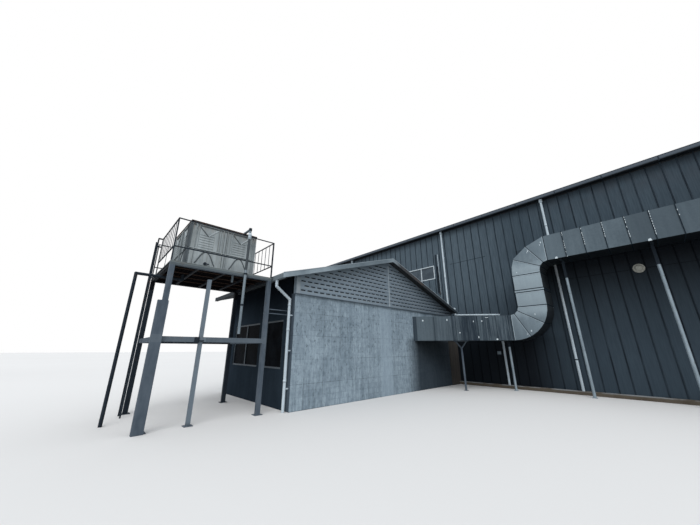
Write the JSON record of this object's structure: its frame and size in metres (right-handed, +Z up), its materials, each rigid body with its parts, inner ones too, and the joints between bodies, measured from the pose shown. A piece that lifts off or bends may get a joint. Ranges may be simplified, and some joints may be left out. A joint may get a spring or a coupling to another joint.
{
  "type": "factory building",
  "caption": "Steel-clad factory hall with a gabled masonry annex, a square air duct on posts and a water tank tower.",
  "frame": {"origin": "middle of the building's base, on the ground", "axes": "+X from the yard through the tower and annex to the hall, +Y along the hall away from the yard, +Z up"},
  "size_m": [34.549, 30.1, 10.637],
  "materials": {
    "dark_cladding": "satin, dusty",
    "trim_grey": "satin, weathered",
    "white_frame": "satin",
    "dark_glass": "gloss",
    "white_pipe": "matt",
    "kerb_concrete": "matt",
    "grey_masonry": "matt, mottled",
    "grey_siding": "matt",
    "floor_concrete": "matt",
    "roof_sheet": "matt, weathered",
    "pale_board": "matt",
    "window_frame_grey": "satin",
    "brown_board": "matt",
    "duct_sheet": "dull galvanised",
    "duct_sheet_pale": "dull galvanised",
    "post_tube": "galvanised",
    "dark_steel": "matt",
    "tower_steel": "matt, rust spots",
    "deck_plate": "matt, rusty",
    "tank_sheet": "matt, streaked",
    "rusty_lid": "rusty",
    "lamp_cover": "matt",
    "grey_plastic": "matt"
  },
  "bodies": {
    "root": {"hall_front_wall": "dark_cladding", "hall_rear_wall": "dark_cladding", "hall_near_end_wall": "dark_cladding", "hall_far_end_wall": "dark_cladding", "hall_front_roof_slope": "trim_grey", "hall_rear_roof_slope": "trim_grey", "hall_ridge_cap": "trim_grey", "hall_gutters": "trim_grey", "hall_verge_trims": "trim_grey", "hall_kerb": "kerb_concrete", "hall_window_frame": "white_frame", "hall_window_glass": "dark_glass", "hall_downpipes": "white_pipe", "diverted_downpipe": "white_pipe", "wall_lamp": "lamp_cover", "wall_conduits": "dark_steel", "annex_gable_wall": "grey_masonry", "annex_gable_siding": "grey_siding", "annex_rear_wall": "grey_masonry", "annex_side_wall": "grey_masonry", "annex_floor": "floor_concrete", "annex_left_roof_slope": "roof_sheet", "annex_right_roof_slope": "roof_sheet", "annex_verge_boards": "pale_board", "annex_siding_trims": "pale_board", "annex_gutter": "roof_sheet", "annex_downpipe": "white_pipe", "annex_window_frames": "window_frame_grey", "annex_window_glass": "dark_glass", "annex_end_panel": "brown_board", "duct_lower_run": "duct_sheet", "duct_lower_bend": "duct_sheet_pale", "duct_riser": "duct_sheet_pale", "duct_upper_bend": "duct_sheet_pale", "duct_upper_run": "duct_sheet", "duct_joint_flanges": "duct_sheet", "duct_posts": "post_tube", "duct_post_heads": "dark_steel", "duct_forked_post": "tower_steel", "tower_columns": "tower_steel", "tower_beams": "tower_steel", "tower_deck": "deck_plate", "tower_guard_rails": "dark_steel", "tower_ladder": "tower_steel", "tower_ties": "tower_steel", "tower_service_box": "tower_steel", "water_tank": "tank_sheet", "tank_lid": "rusty_lid", "tank_inlet_pipe": "dark_steel", "tank_overflow_pipe": "grey_plastic"}
  },
  "joints": []
}
